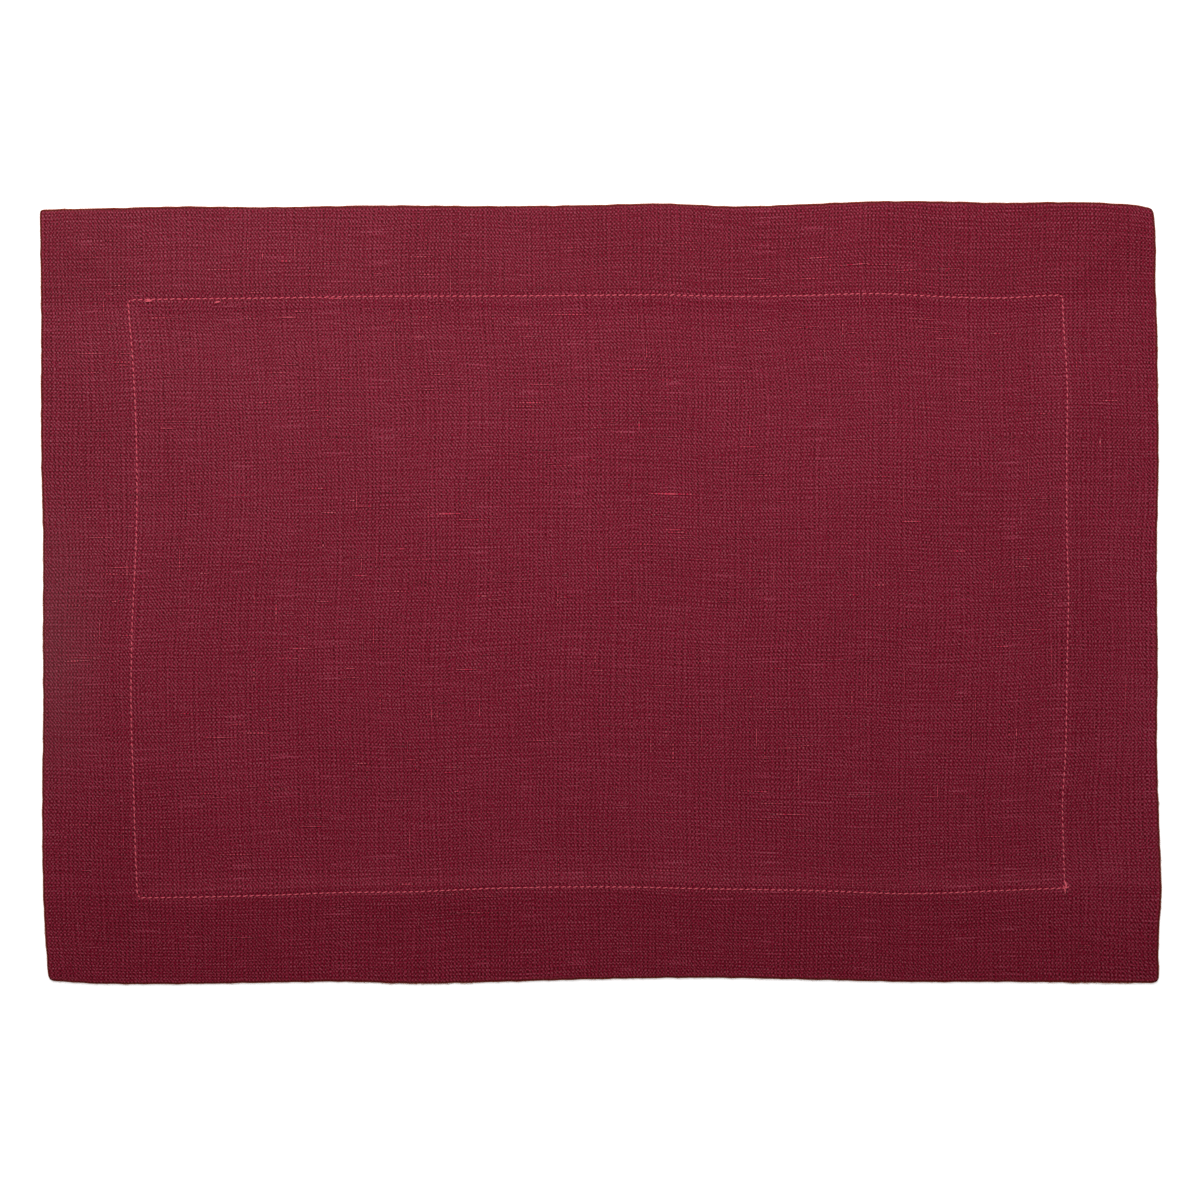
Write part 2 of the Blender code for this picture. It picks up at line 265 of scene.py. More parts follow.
STITCH_PITCH = 2.9
TWIST = 0.9           # length of thread in which each ply comes to where the next one was
STITCH_DASH = 0.74    # share of the pitch that each stitch shows; the rest is drawn into the cloth
LEAN_SPREAD = 0.3     # how unevenly the stitches lean, as a share of their slant
NEEDLE_SPREAD = 0.1   # how far the needle holes are off their even steps
FACE_FLAT = 0.8       # height of the thread over its width, on the face
BACK_FLAT = 0.35      # and at the back, where the mat lies on it
ARCH_SHAPE = 0.6      # less makes a stitch's arch blunter

# Heights of the thread's middle at a stitch's ends and at its own middle: over the face in half widths
# of the thread, and at the back, in mm, over where it would touch the table
FACE_ARCH = (-1.25, 0.65)
BACK_ARCH = (0.22, 0.02)
TACK_ENDS = -1.0
TACK_TOPS = (1.5, 1.9)       # the first and the last of them, so that they lie over each other
TACK_WIDE = 1.1       # a tack is so much wider than a stitch

TURN_CUT = 1.2        # how much of a corner the seam cuts off, where it turns
TROUGH_DEPTH = 0.22   # how far the seam draws the face down
TROUGH_WIDTH = 1.1
HOLE_DEPTH = 0.20     # what a needle hole adds to that
HOLE_WIDTH = 0.55

EDGE_BUMP = 0.06      # height of each of the waves that make the folded edge a little bumpy
EDGE_WAVES = (1.3, 1.93, 3.1)    # their lengths over 2 pi
EDGE_HOLD = 8         # more keeps them closer to the edge
FIBRE_ROOT = 0.15     # how deep in the fold a loose fibre starts
FIBRE_BOW = (0.1, 0.45)      # how far it bows outwards, as a share of its length
FIBRE_BOWED = 1.6     # the longest length that counts for that
FIBRE_REACH = 0.6     # furthest that it stands out of the fold
FIBRE_LEVELS = (0.2, 1.3)    # heights on the fold at which fibres leave it
FIBRE_CLIMB = 0.25    # how far they rise or fall on their way
FIBRE_UNEVEN = (0.6, 1.4)    # thinnest and thickest, as shares of the usual thickness
FIBRE_TAPER = (1.1, 0.3)     # thickness at the root and at the tip
FRAYED_SHARE = 0.1    # share of all the fibres that are on each of the frayed stretches
TABLE_GAP = 0.1       # lowest middle of a fibre over the table

# Colours across the fold, by the distance on the flat cloth outwards from the folded edge
FOLD_CREST = 0.1      # the fold's outermost line
SHOULDER = 1.55       # from there to the shoulder that catches the light
SHOULDER_BAND = (0.1, 0.6)   # half its width: where it is still full, and where it has faded
SHOULDER_SHARE = 0.1         # share of the paler colour on it
SHADE_BAND = (1.0, 1.5)      # the same for the shade on either side of the crest
SHADE_SHARE = 0.7            # share of the darker colour in it
WORN_FROM = (-0.65, -0.35)   # where the worn dye sets in
WORN_TO = (0.1, 0.3)         # and where it ends
HEM_SHADE_SOFT = 3.0   # the hem's painted shade sets in over so much inside the stitches

# ---- the stage, in m

SEEN_WIDTH = 0.5462          # width that the picture shows, at the mat's height
VIEW_CENTRE = (-0.0003, -0.0033)
SENSOR = 36.0                # width of the camera's sensor, in mm
SOFTBOX = (1.0, 0.7)
SOFTBOX_PLACE = (-0.075, 0.47, 0.69)
SOFTBOX_TILT = math.atan2(0.3, 0.7)    # it faces down and a little towards the near side
FLOOR_REACH = 25.0
FLOOR_GLOW = 0.6             # light of its own, which keeps the board white around the mat

# ---- mesh density

LONG_STEPS = 194      # columns of the hem along a long side, even
SHORT_STEPS = 118     # and along a short side
PANEL_EVERY = 2       # the panel has a column for each two of the hem's
SEAM_SPLIT = 3        # and the rows by the stitches three for each
CORNER_STEPS = (0.0, 0.8, 1.8, 3.2, 5.0, 7.5, 11.0)   # first places along a side, from its corner

# Rows of the face by inset, from the panel's rim outwards
FLANK_INSETS = (57.0, 54.0, 51.2, 48.8, 46.8)
SEAM_INSETS = (45.2, 43.8, 42.7, 42.0, 41.3, 40.2)
HEM_INSETS = (38.6, 36.4, 34.6, 33.0, 30.0, 26.0, 22.0, 18.0, 14.0, 10.0, 7.0, 4.6, 2.8, 1.6)
BACK_INSETS = (1.6, 5.0, 14.0, 26.0, 36.0, 41.3, 42.0, 42.7)
TURN_ROWS = 4         # of the turned-in edge
FOLD_ANGLES = (20, 50, 75, 105, 130, 160)
INNER_ANGLES = (30, 90, 150)
THREAD_POINTS = 8     # along a stitch or a slub
THREAD_SIDES = 6
FIBRE_POINTS = 5
FIBRE_SIDES = 3

# The sides in turn round the mat. forward: the way round. outward: out of the mat. half: half its
# length. across: how far it is from the middle. steps: the hem's columns along it.
Side = namedtuple("Side", "forward outward half across steps")

SIDES = {
    "near": Side((1, 0), (0, -1), HALF_LENGTH, HALF_WIDTH, LONG_STEPS),
    "right": Side((0, 1), (1, 0), HALF_WIDTH, HALF_LENGTH, SHORT_STEPS),
    "far": Side((-1, 0), (0, 1), HALF_LENGTH, HALF_WIDTH, LONG_STEPS),
    "left": Side((0, -1), (-1, 0), HALF_WIDTH, HALF_LENGTH, SHORT_STEPS),
}


# ---- where the cloth lies

def smooth_through(rows, column, along):
    """A table's column as a smooth curve: cubic pieces that share the mean slope at each row."""
    place = np.array([row[0] for row in rows], dtype=float)
    value = np.array([getattr(row, column) for row in rows], dtype=float)
    slope = np.gradient(value, place)
    k = np.clip(np.searchsorted(place, along) - 1, 0, len(place) - 2)
    step = place[k + 1] - place[k]
    t = np.clip((along - place[k]) / step, 0.0, 1.0)
    start = (1 + 2 * t) * (1 - t) ** 2
    level = start * value[k] + (1 - start) * value[k + 1]
    return level + step * t * (1 - t) * ((1 - t) * slope[k] - t * slope[k + 1])


def stand_out(rows, along, out):
    """How far a side stands out: out is 0 from the stitches inwards and 1 at the folded edge.

    The edge also has small bumps, the sum of three short waves."""
    stitch = smooth_through(rows, "stitch", along)
    edge = smooth_through(rows, "edge", along)
    starts = (0.0, 2.0, len(rows))
    bumps = sum(np.sin(along / wave + start) for wave, start in zip(EDGE_WAVES, starts))
    return stitch + (edge - stitch) * out + EDGE_BUMP * bumps * out ** EDGE_HOLD


def rounded_corners(u, v):
    """The pattern's square corners made round: a square of the radius is mapped to a quarter disc."""
    radius = CORNER_RADIUS[np.where(v < 0, 0, 1), np.where(u < 0, 0, 1)]
    a = np.clip(1 - (HALF_LENGTH - abs(u)) / radius, 0.0, 1.0)
    b = np.clip(1 - (HALF_WIDTH - abs(v)) / radius, 0.0, 1.0)
    pull_u = radius * a * (1 - np.sqrt(1 - b * b / 2))
    pull_v = radius * b * (1 - np.sqrt(1 - a * a / 2))
    return u - np.sign(u) * pull_u, v - np.sign(v) * pull_v


def laid_out(u, v):
    """Carry a point of the straight-edged pattern to where the uneven cloth has it."""
    u, v = rounded_corners(u, v)
    out_u = np.clip((abs(u) - HALF_LENGTH + HEM) / HEM, 0.0, 1.0)
    out_v = np.clip((abs(v) - HALF_WIDTH + HEM) / HEM, 0.0, 1.0)
    right = np.clip(0.5 + 0.5 * u / (HALF_LENGTH - HEM), 0.0, 1.0)
    far = np.clip(0.5 + 0.5 * v / (HALF_WIDTH - HEM), 0.0, 1.0)
    shift_u = right * stand_out(RIGHT_SIDE, v, out_u) - (1 - right) * stand_out(LEFT_SIDE, v, out_u)
    shift_v = far * stand_out(FAR_SIDE, u, out_v) - (1 - far) * stand_out(NEAR_SIDE, u, out_v)
    return u + shift_u, v + shift_v


def over_cloth(u, v, z):
    """Points in mm: places of the pattern where the cloth has them, at the heights z."""
    return np.stack((*laid_out(u, v), z), axis=-1)


def pattern_at(x, y):
    """The pattern's (u, v) at a place on the mat: one step back by the shift that laid_out makes."""
    x, y = np.asarray(x, dtype=float), np.asarray(y, dtype=float)
    shifted_x, shifted_y = laid_out(x, y)
    return 2 * x - shifted_x, 2 * y - shifted_y


def inset_of(u, v):
    """Distance of a point of the pattern from the nearest folded edge."""
    return np.minimum(HALF_LENGTH - abs(u), HALF_WIDTH - abs(v))


def swelling(x, y):
    """Height that the soft swells add: each is an oval dome that fades like a bell curve."""
    total = np.zeros_like(x)
    for swell in SWELLS:
        turn = math.radians(swell.turn)
        along = (x - swell.x) * math.cos(turn) + (y - swell.y) * math.sin(turn)
        across = (y - swell.y) * math.cos(turn) - (x - swell.x) * math.sin(turn)
        total += swell.rise * np.exp(-(along / swell.long) ** 2 - (across / swell.wide) ** 2)
    return total


def off_diagonal(u, v):
    """Distance of a point of the pattern from the diagonal of its corner."""
    return abs(HALF_LENGTH - abs(u) - HALF_WIDTH + abs(v)) / math.sqrt(2)


def needle_places(half, rng):
    """Where the needle went in along one side: even steps of the stitch pitch, each a little off."""
    reach = half - HEM - TURN_CUT
    count = round(2 * reach / STITCH_PITCH)
    places = np.linspace(-reach, reach, count + 1)
    places[1:-1] += rng.normal(0.0, NEEDLE_SPREAD, count - 1)
    return places


# The needle holes of each side, along +X or +Y
NEEDLE = {
    name: needle_places(side.half, np.random.default_rng(SEED + number))
    for number, (name, side) in enumerate(SIDES.items())
}


def drawn_in(u, v):
    """How far the seam draws the cloth in: a trough along the stitches, deeper at each needle hole."""
    off_line = inset_of(u, v) - HEM
    by_side = abs(u) - HALF_LENGTH > abs(v) - HALF_WIDTH
    off_hole = np.zeros_like(u)
    for name, along, here in (
        ("near", u, ~by_side & (v < 0)),
        ("far", u, ~by_side & (v >= 0)),
        ("left", v, by_side & (u < 0)),
        ("right", v, by_side & (u >= 0)),
    ):
        holes = NEEDLE[name]
        k = np.clip(np.searchsorted(holes, along), 1, len(holes) - 1)
        off_hole = np.where(here, np.minimum(abs(along - holes[k - 1]), abs(holes[k] - along)), off_hole)
    trough = TROUGH_DEPTH * np.exp(-(off_line / TROUGH_WIDTH) ** 2)
    return trough + HOLE_DEPTH * np.exp(-(off_line / HOLE_WIDTH) ** 2 - (off_hole / HOLE_WIDTH) ** 2)


def face_level(u, v):
    """Height of the face's middle surface: the hem's section, the mitre's ridge, swells and seam."""
    inset = inset_of(u, v)
    level = smooth_through(FACE_LEVELS, "level", inset)
    in_hem = np.clip((HEM_EDGE - inset) / HEM_FADE, 0.0, 1.0) * np.clip(inset / EDGE_FADE, 0.0, 1.0)
    off = off_diagonal(u, v)
    ridge = MITRE_RISE * np.exp(-(off / MITRE_SPREAD) ** 2)
    band = ALLOWANCE_RISE / (1 + np.exp((off - ALLOWANCE_REACH) / ALLOWANCE_SOFT))
    x, y = laid_out(u, v)
    return level + in_hem * (ridge + band) + swelling(x, y) - drawn_in(u, v)


# ---- the cloth's mesh

# A row of the ring round the panel. inset: where it lies. reach: how far past the folded edge it is
# on the flat cloth. split: its columns for each of the hem's. layer: face, fold, back, inner or
# turned. turn: how far round its fold it is.
Row = namedtuple("Row", "inset reach split layer turn")


def from_corner(steps, all_steps, half, evenness):
    """Distance from a corner along the hem: drawn in to the corner at 0, equal cells at 1."""
    even = half * steps / all_steps
    first = np.arange(len(CORNER_STEPS))
    tight = np.interp(steps, (*first, all_steps), (*CORNER_STEPS, half))
    return tight + (even - tight) * evenness


def column_places(steps, half, inset, split):
    """Places of a row's columns along one side, from its middle, both corners included."""
    columns = np.linspace(0, steps, round(steps * split) + 1)
    length = half - inset
    evenness = min(inset / PANEL_INSET, 1.0)
    near_end = from_corner(np.minimum(columns, steps - columns), steps / 2, length, evenness)
    return np.where(columns < steps / 2, near_end - length, length - near_end)


def at_side(side, along, out):
    """(u, v) of places along a side, each so far out from the mat's middle."""
    return tuple(along * forward + out * outward for forward, outward in zip(side.forward, side.outward))


def side_points(side, row):
    """(u, v) of a row's points along one side, and the same points on the flat cloth."""
    along = column_places(side.steps, side.half, row.inset, row.split)
    return at_side(side, along, side.across - row.inset), at_side(side, along, side.across + row.reach)


def ring_rows():
    """The section from the panel's rim over the face, round the fold, back underneath and turned in."""
    rows = [Row(PANEL_INSET, -PANEL_INSET, 1 / PANEL_EVERY, "face", 0)]
    for insets, split in ((FLANK_INSETS, 1), (SEAM_INSETS, SEAM_SPLIT), (HEM_INSETS, 1)):
        rows += [Row(inset, -inset, split, "face", 0) for inset in insets]
    half_thick = cloth_thickness() / 2
    bend = half_thick + FOLD_SOFT
    for angle in FOLD_ANGLES:
        turn = math.radians(angle)
        inset = bend - FOLD_SOFT * math.sin(turn)
        rows.append(Row(inset, -bend + FOLD_SOFT * turn, 1, "fold", turn))
    past = -bend + FOLD_SOFT * math.pi - bend
    rows += [Row(inset, inset + past, 1, "back", 0) for inset in BACK_INSETS]
    inner = HEM_EDGE - half_thick - INNER_SOFT
    for angle in INNER_ANGLES:
        turn = math.radians(angle)
        inset = inner + INNER_SOFT * math.sin(turn)
        rows.append(Row(inset, inner + past + INNER_SOFT * turn, 1, "inner", turn))
    end = inner + past + INNER_SOFT * math.pi
    for inset in np.linspace(inner - 1.0, HEM_EDGE - TURN_IN, TURN_ROWS):
        rows.append(Row(float(inset), end + inner - float(inset), 1, "turned", 0))
    return rows


def row_height(u, v, row):
    """Height of a row: the face's level, or a half turn from it to the back, and so on inwards."""
    x, y = laid_out(u, v)
    lift = swelling(x, y)
    groove = MITRE_GROOVE * np.exp(-(off_diagonal(u, v) / MITRE_GAP) ** 2)
    face = face_level(u, v)
    back = BACK_LEVEL + lift + groove * min(row.inset / GROOVE_FADE, 1.0)
    turned = TURN_LEVEL + lift
    if row.layer == "face":
        return face
    if row.layer == "fold":
        return (face + back) / 2 + (face - back) / 2 * math.cos(row.turn)
    if row.layer == "back":
        return back + BACK_SHARE * drawn_in(u, v)
    if row.layer == "inner":
        return (turned + back) / 2 - (turned - back) / 2 * math.cos(row.turn)
    return turned


def quads_between(inner, outer):
    """Faces between two rows of corners. Where the rows differ in number, a face takes all the
    corners of the finer row that lie between two of the coarser one."""
    coarse, fine = len(inner) - 1, len(outer) - 1
    if coarse == fine:
        return np.column_stack((inner[:-1], outer[:-1], outer[1:], inner[1:]))
    if coarse < fine:
        ratio = fine // coarse
        steps = [outer[k : k + fine - ratio + 1 : ratio] for k in range(ratio + 1)]
        return np.column_stack((inner[:-1], *steps, inner[1:]))
    ratio = coarse // fine
    steps = [inner[k : k + coarse - ratio + 1 : ratio] for k in range(ratio, -1, -1)]
    return np.column_stack((outer[:-1], outer[1:], *steps))


def cloth_arrays():
    """The sheet's middle surface: a grid for the panel and a ring of rows round it for the hem.

    Returns vertices in mm, faces, and for each face corner its place on the flat cloth in mm."""
    panel_u = column_places(LONG_STEPS, HALF_LENGTH, PANEL_INSET, 1 / PANEL_EVERY)
    panel_v = column_places(SHORT_STEPS, HALF_WIDTH, PANEL_INSET, 1 / PANEL_EVERY)
    u, v = np.meshgrid(panel_u, panel_v, indexing="ij")
    grid = np.arange(u.size).reshape(u.shape)
    u, v = u.ravel(), v.ravel()
    points = [over_cloth(u, v, face_level(u, v))]
    corner_vertex = [grid.ravel()]
    corner_flat = [np.column_stack((u, v))]
    corners = u.size
    made = u.size
    cells = (grid[:-1, :-1], grid[1:, :-1], grid[1:, 1:], grid[:-1, 1:])
    faces = [np.stack(cells, axis=-1).reshape(-1, 4)]
    rim = {"near": grid[:, 0], "right": grid[-1], "far": grid[::-1, -1], "left": grid[0, ::-1]}
    before = rim

    for number, row in enumerate(ring_rows()):
        side_uv = {name: side_points(side, row) for name, side in SIDES.items()}
        if number == 0:
            ids = rim
        else:
            counts = [len(side_uv[side][0][0]) - 1 for side in SIDES]
            starts = made + np.concatenate(([0], np.cumsum(counts)))
            loop = sum(counts)
            ids = {
                side: (np.arange(count + 1) + start - made) % loop + made
                for side, count, start in zip(SIDES, counts, starts)
            }
            u = np.concatenate([side_uv[side][0][0][:-1] for side in SIDES])
            v = np.concatenate([side_uv[side][0][1][:-1] for side in SIDES])
            points.append(over_cloth(u, v, row_height(u, v, row)))
            made += loop
        now = {}
        for side in SIDES:
            now[side] = np.arange(len(ids[side])) + corners
            corners += len(ids[side])
            corner_vertex.append(ids[side])
            corner_flat.append(np.column_stack(side_uv[side][1]))
            if number:
                faces.append(quads_between(before[side], now[side]))
        before = now

    corner_vertex = np.concatenate(corner_vertex)
    corner_flat = np.concatenate(corner_flat)
    flat = np.concatenate([corner_flat[part.ravel()] for part in faces])
    polygons = [face for part in faces for face in corner_vertex[part].tolist()]
    return np.concatenate(points), polygons, flat


# ---- threads and fibres

def wall_corners(here, round_on):
    """The four corners of each wall of a tube, from a grid's values at its lines and at the next."""
    return np.stack((here[:, :-1], here[:, 1:], round_on[:, 1:], round_on[:, :-1]), axis=3)


def tubes(paths, half_wide, half_high, sides):
    """Closed tubes along many paths at once: at each point of a path, an oval is set square to it.

    paths is (tubes, points, 3) in mm; half_wide and half_high are (tubes, points) or one number.
    Returns the vertices, the faces and for each face corner the length along the tube and the share
    of the way round it."""
    count, steps, _ = paths.shape
    half_wide = np.broadcast_to(half_wide, (count, steps))
    half_high = np.broadcast_to(half_high, (count, steps))
    along = np.gradient(paths, axis=1)
    along /= np.linalg.norm(along, axis=2, keepdims=True) + 1e-9
    beside = np.cross(along, (0.0, 0.0, 1.0))
    beside /= np.linalg.norm(beside, axis=2, keepdims=True) + 1e-9
    above = np.cross(beside, along)
    angle = np.arange(sides) * 2 * math.pi / sides
    ring = (
        paths[:, :, None, :]
        + beside[:, :, None, :] * (half_wide[:, :, None] * np.cos(angle))[..., None]
        + above[:, :, None, :] * (half_high[:, :, None] * np.sin(angle))[..., None]
    )
    vertices = ring.reshape(-1, 3)
    ids = np.arange(len(vertices)).reshape(count, steps, sides)
    walls = wall_corners(ids, np.roll(ids, -1, axis=2)).reshape(-1, 4)
    run = np.linalg.norm(np.diff(paths, axis=1), axis=2).cumsum(axis=1)
    run = np.concatenate((np.zeros((count, 1)), run), axis=1)
    run = np.broadcast_to(run[:, :, None], (count, steps, sides))
    share = np.broadcast_to(np.arange(sides) / sides, (count, steps, sides))
    place = np.stack((run, share), axis=-1)
    place_on = np.stack((run, share + 1 / sides), axis=-1)
    wall_place = wall_corners(place, place_on).reshape(-1, 2)
    caps = np.concatenate((ids[:, 0], ids[:, -1, ::-1]))
    cap_place = np.concatenate((place[:, 0], place[:, -1, ::-1])).reshape(-1, 2)
    return vertices, walls.tolist() + caps.tolist(), np.concatenate((wall_place, cap_place))


def needle_loop():
    """(u, v) of all needle holes, in turn round the mat and back to the first."""
    holes = []
    for name, side in SIDES.items():
        along = NEEDLE[name] if sum(side.forward) > 0 else -NEEDLE[name][::-1]
        holes.append(np.column_stack(at_side(side, along, side.across - HEM)))
    return np.concatenate((*holes, holes[0][:1]))


def slub_tubes(slubs, turn):
    """Lens-shaped tubes that lie half sunk in the face, from the columns of a table of slubs. turn is
    0 along the weft and 90 degrees along the warp. At t along its length a slub's thickness is that
    of its middle times (1 - (2t - 1)^2) to the power SLUB_SHAPE.

    Returns vertices and faces, and for each face corner its place on the flat cloth, and its slub's
    strength there with the share of the way round."""
    x, y, length, strength, climb = (column[:, None] for column in slubs)
    t = np.linspace(0.0, 1.0, THREAD_POINTS)
    along = (t - 0.5) * length
    lean = (t - 0.5) * climb
    c, s = math.cos(turn), math.sin(turn)
    u, v = pattern_at(x + along * c - lean * s, y + along * s + lean * c)
    thick = np.clip(1 - (2 * t - 1) ** 2, 0.0, 1.0) ** SLUB_SHAPE + SLUB_ENDS
    half_wide = SLUB_WIDE * (0.5 + 0.5 * strength) * thick
    half_high = SLUB_HIGH * strength * thick
    paths = over_cloth(u, v, face_top(u, v) + SLUB_OUT * half_high)
    vertices, faces, places = tubes(paths, half_wide, half_high, THREAD_SIDES)
    corner = np.concatenate(faces)
    flat = np.column_stack((np.repeat(u.ravel(), THREAD_SIDES), np.repeat(v.ravel(), THREAD_SIDES)))
    places[:, 0] = np.repeat((strength * thick).ravel(), THREAD_SIDES)[corner]
    return vertices, faces, flat[corner], places


def face_top(u, v):
    """Height of the face's upper skin."""
    return face_level(u, v) + cloth_thickness() / 2


def cloth_thickness():
    """The linen's thickness in mm, as the sidebar has it."""
    return bpy.context.scene.placemat_cloth.thickness / MM


# ---- meshes and materials

def make_piece(name, vertices, faces, maps, material):
    """A piece at the origin: its mesh in metres, smooth, with its UV maps by name."""
    mesh = bpy.data.meshes.new(name)
    mesh.from_pydata((vertices * MM).tolist(), [], faces)
    for map_name, places in maps.items():
        layer = mesh.uv_layers.new(name=map_name)
        layer.uv.foreach_set("vector", places.astype(np.float32).ravel())
    mesh.shade_smooth()
    mesh.validate()
    mesh.materials.append(material)
    piece = bpy.data.objects.new(name, mesh)
    bpy.context.scene.collection.objects.link(piece)
    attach(piece, "root")
    return piece


def make_threads(name, paths, half_wide, half_high, sides, material):
    """A piece of many tubes, with their lengths and turns as its map."""
    vertices, faces, places = tubes(paths, half_wide, half_high, sides)
    return make_piece(name, vertices, faces, {"along_thread": places}, material)


def linear(hex_colour):
    """An sRGB hex colour as linear red, green, blue and 1."""
    parts = [int(hex_colour[k : k + 2], 16) / 255 for k in (1, 3, 5)]
    return tuple(c / 12.92 if c <= 0.04045 else ((c + 0.055) / 1.055) ** 2.4 for c in parts) + (1.0,)


def add_node(tree, kind, *inputs, out=0, stops=(), **settings):
    """Adds a node with its settings and links, and returns one of its outputs. inputs are the sockets
    or values for its inputs in their order, or one dict of them by name or number. stops are the
    places and colours of a colour ramp."""
    node = tree.nodes.new("ShaderNode" + kind)
    for name, value in settings.items():
        setattr(node, name, value)
    by_name = inputs and isinstance(inputs[0], dict)
    for socket, value in inputs[0].items() if by_name else enumerate(inputs):
        if isinstance(value, bpy.types.NodeSocket):
            tree.links.new(value, node.inputs[socket])
        else:
            node.inputs[socket].default_value = value
    if stops:
        elements = node.color_ramp.elements
        while len(elements) < len(stops):
            elements.new(0.5)
        for element, (place, colour) in zip(elements, stops):
            element.position = place
            element.color = tuple(colour)
    return node.outputs[out] if node.outputs else node


def new_material(name):
    """An empty node material, and the function that adds nodes to it."""
    material = bpy.data.materials.new(name)
    material.use_nodes = True
    material.node_tree.nodes.clear()
    return material, partial(add_node, material.node_tree)


def patchy(add, place, size, detail=0.0, start=(0, 0), out="Fac"):
    """Soft random patches over a place in mm. size is theirs along X and Y."""
    at = add("Mapping", {
        "Vector": place, "Scale": (1 / size[0], 1 / size[1], 1.0), "Location": (*start, 0),
    })
    return add("TexNoise", {"Vector": at, "Scale": 1.0, "Detail": detail}, out=out,
               noise_dimensions="2D")


def yarn_tones(add, along, across, every):
    """Tones of one set of yarns: a wave that makes the yarns paler and darker by turns, every so many
    mm, shifted to and fro by a noise that is another one for each yarn. A share of the tone half a
    wave further on is taken off, so that a pale yarn has darker ones beside it and no broad bands
    come up."""
    tones = 0.0
    for beside, share in ((0.0, 1.0), (every / 2, -YARN_APART)):
        here = add("Math", across, beside, operation="ADD")
        yarn = patchy(add, add("CombineXYZ", here), (YARN_OWN, 1))
        start = add("Math", yarn, YARN_JUMP, along, operation="MULTIPLY_ADD")
        phase = patchy(add, add("CombineXYZ", start, here), (YARN_LENGTH, 4.5))
        phase = add("Math", phase, 2 * math.pi * YARN_SHIFT, operation="MULTIPLY")
        wave = add("Math", here, 2 * math.pi / every, phase, operation="MULTIPLY_ADD")
        wave = add("Math", wave, operation="COSINE")
        tones = add("Math", wave, share, tones, operation="MULTIPLY_ADD")
    return tones


def yarns(add, flat):
    """Warp and weft, each as where its yarns lie, the same after their slow wander over the cloth, and
    their turn in the weave, with a little unevenness of its own."""
    wander = patchy(add, flat, (70, 70), detail=1.0, out="Color")
    for axis, channel, patch, sway, pitch in (
        ("X", "Red", (1.7, 16), 1.0, WARP_PITCH),
        ("Y", "Green", (18, 2.1), 1.2, WEFT_PITCH),
    ):
        place = add("SeparateXYZ", flat, out=axis)
        drift = add("SeparateColor", wander, out=channel)
        drift = add("Math", drift, WANDER, place, operation="MULTIPLY_ADD")
        uneven = patchy(add, flat, patch, detail=1.0)
        turn = add("Math", uneven, sway, drift, operation="MULTIPLY_ADD")
        yield place, drift, add("Math", turn, math.pi / (pitch * COARSE), operation="MULTIPLY")


def interlacing(add, flat, warp, weft):
    """The floats: a checker, drawn as its two diagonal waves, of which now the one and now the other
    is the stronger."""
    lean = patchy(add, flat, (16, 16), detail=1.0)
    floats = 0.0
    for crossing, low, high in (("ADD", -0.45, -0.78), ("SUBTRACT", 0.60, 0.26)):
        wave = add("Math", warp, weft, operation=crossing)
        wave = add("Math", wave, operation="COSINE")
        share = add("MapRange", lean, 0.3, 0.7, low, high)
        floats = add("Math", wave, share, floats, operation="MULTIPLY_ADD")
    return floats


def pressed_edge(add, colour, past):
    """The cloth's colour with that of its folded edge over it, by the distance past the pattern's edge.

    The shoulder carries a painted highlight, where it would catch the light. Outside it the fold
    turns down, and a dark brown is painted in as its shade. On its upper half the dye has worn off
    along the very edge, and the flax's own tan shows."""
    worn = add("Math", add("MapRange", past, *WORN_FROM), add("MapRange", past, *WORN_TO),
               operation="SUBTRACT")
    off_crest = add("Math", add("Math", past, -FOLD_CREST, operation="ADD"), operation="ABSOLUTE")
    shoulder = add("Math", off_crest, SHOULDER, operation="SUBTRACT")
    shoulder = add("Math", shoulder, operation="ABSOLUTE")
    shoulder = add("MapRange", shoulder, *SHOULDER_BAND, SHOULDER_SHARE, 0.0)
    # Painted shade on either side of the fold's crest.
    shade = add("MapRange", off_crest, *SHADE_BAND, SHADE_SHARE, 0.0)
    colours = bpy.context.scene.placemat_colours
    for share, over in ((shoulder, colours.slub), (shade, colours.edge), (worn, colours.worn_edge)):
        colour = add("Mix", {0: share, 6: colour, 7: tuple(over)}, out=2, data_type="RGBA")
    return colour


